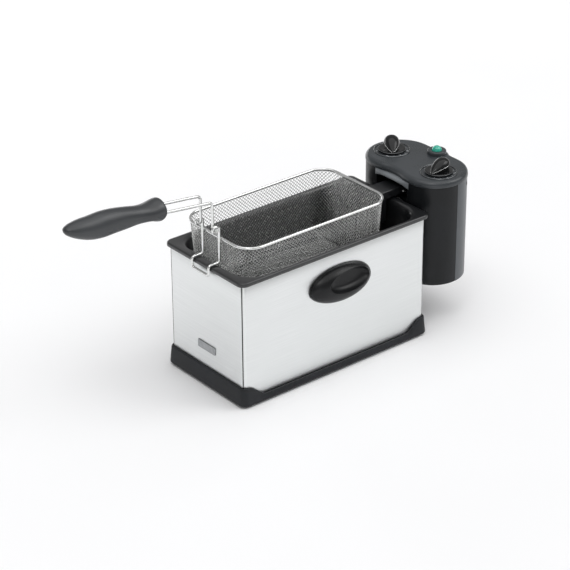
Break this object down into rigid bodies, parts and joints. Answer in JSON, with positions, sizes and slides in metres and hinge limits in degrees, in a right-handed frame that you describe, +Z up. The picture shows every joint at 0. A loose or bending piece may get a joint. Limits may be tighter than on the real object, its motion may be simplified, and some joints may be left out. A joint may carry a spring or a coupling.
{
  "type": "deep fryer",
  "caption": "Countertop deep fryer: steel housing on a plastic base, lift-out tank, wire basket hung on the rim by its hook, and a detachable control head with a heating element.",
  "frame": {"origin": "on the standing surface, below the middle of the whole object, basket handle and control head included", "axes": "+X along the fryer towards the control head, +Y across it, +Z up"},
  "size_m": [0.6214, 0.188, 0.2974],
  "materials": {
    "steel": "brushed",
    "chrome": "bright wire",
    "zinc_steel": "plated, satin",
    "enamel": "satin non-stick coating",
    "black_plastic": "satin",
    "gloss_black": "gloss",
    "head_plastic": "satin",
    "head_grey": "satin",
    "rubber": "matt",
    "brass": "turned",
    "green_lens": "clear tinted",
    "red_plastic": "gloss",
    "switch_plastic": "moulded"
  },
  "bodies": {
    "appliance": {"base_tray": "black_plastic", "foot_1": "rubber", "foot_2": "rubber", "foot_3": "rubber", "foot_4": "rubber", "outer_housing": "steel", "inner_tank": "enamel", "blank_badge": "black_plastic", "side_handle_front": "black_plastic", "side_handle_front_screw_1": "zinc_steel", "side_handle_front_screw_2": "zinc_steel", "side_handle_rear": "black_plastic", "side_handle_rear_screw_1": "zinc_steel", "side_handle_rear_screw_2": "zinc_steel", "head_guide_rail_1": "zinc_steel", "head_guide_rail_2": "zinc_steel", "safety_switch_tab": "zinc_steel"},
    "basket": {"basket_mesh": "chrome", "basket_rim_wire": "chrome", "basket_hook_frame": "chrome"},
    "basket_handle": {"handle_rod_front": "chrome", "handle_rod_rear": "chrome", "handle_grip": "black_plastic"},
    "control_head": {"head_front_shell": "head_plastic", "head_rear_shell": "head_grey", "head_deck": "head_plastic", "head_bottom_cover": "head_plastic", "head_guide_shoe_1": "black_plastic", "head_guide_shoe_2": "black_plastic", "bridge_arm": "enamel", "arm_screw_1": "zinc_steel", "arm_screw_2": "zinc_steel", "heating_element": "zinc_steel", "element_clip": "zinc_steel", "thermostat_bulb": "chrome", "timer_body": "switch_plastic", "timer_dial_ring": "chrome", "thermostat_body": "zinc_steel", "thermostat_dial_ring": "chrome", "lamp_bezel": "head_plastic", "indicator_lens": "green_lens", "indicator_lamp": "switch_plastic", "thermal_cutout": "switch_plastic", "safety_microswitch": "black_plastic", "terminal_block": "switch_plastic", "mains_cable_gland": "rubber"},
    "timer_control": {"timer_knob": "gloss_black", "timer_shaft": "brass"},
    "thermostat_control": {"thermostat_knob": "gloss_black", "thermostat_shaft": "brass"},
    "reset_control": {"reset_button": "red_plastic"}
  },
  "joints": [
    {"name": "basket_lift", "type": "slide", "parent": "appliance", "child": "basket", "axis": [0, 0, 1], "range_m": [0, 0.12]},
    {"name": "handle_fold", "type": "hinge", "parent": "basket", "child": "basket_handle", "pos_m": [-0.09899, 0, 0.2292], "axis": [0, 1, 0], "range_deg": [0, 126]},
    {"name": "head_lift", "type": "slide", "parent": "appliance", "child": "control_head", "axis": [0, 0, 1], "range_m": [0, 0.05]},
    {"name": "timer_turn", "type": "hinge", "parent": "control_head", "child": "timer_control", "pos_m": [0.25171, 0.0465, 0.2158], "axis": [0, 0, -1], "range_deg": [0, 300]},
    {"name": "thermostat_turn", "type": "hinge", "parent": "control_head", "child": "thermostat_control", "pos_m": [0.25171, -0.0465, 0.2158], "axis": [0, 0, -1], "range_deg": [0, 240]},
    {"name": "reset_press", "type": "slide", "parent": "control_head", "child": "reset_control", "axis": [-1, 0, 0], "range_m": [0, 0.002], "stiffness_N_per_m": 300}
  ]
}
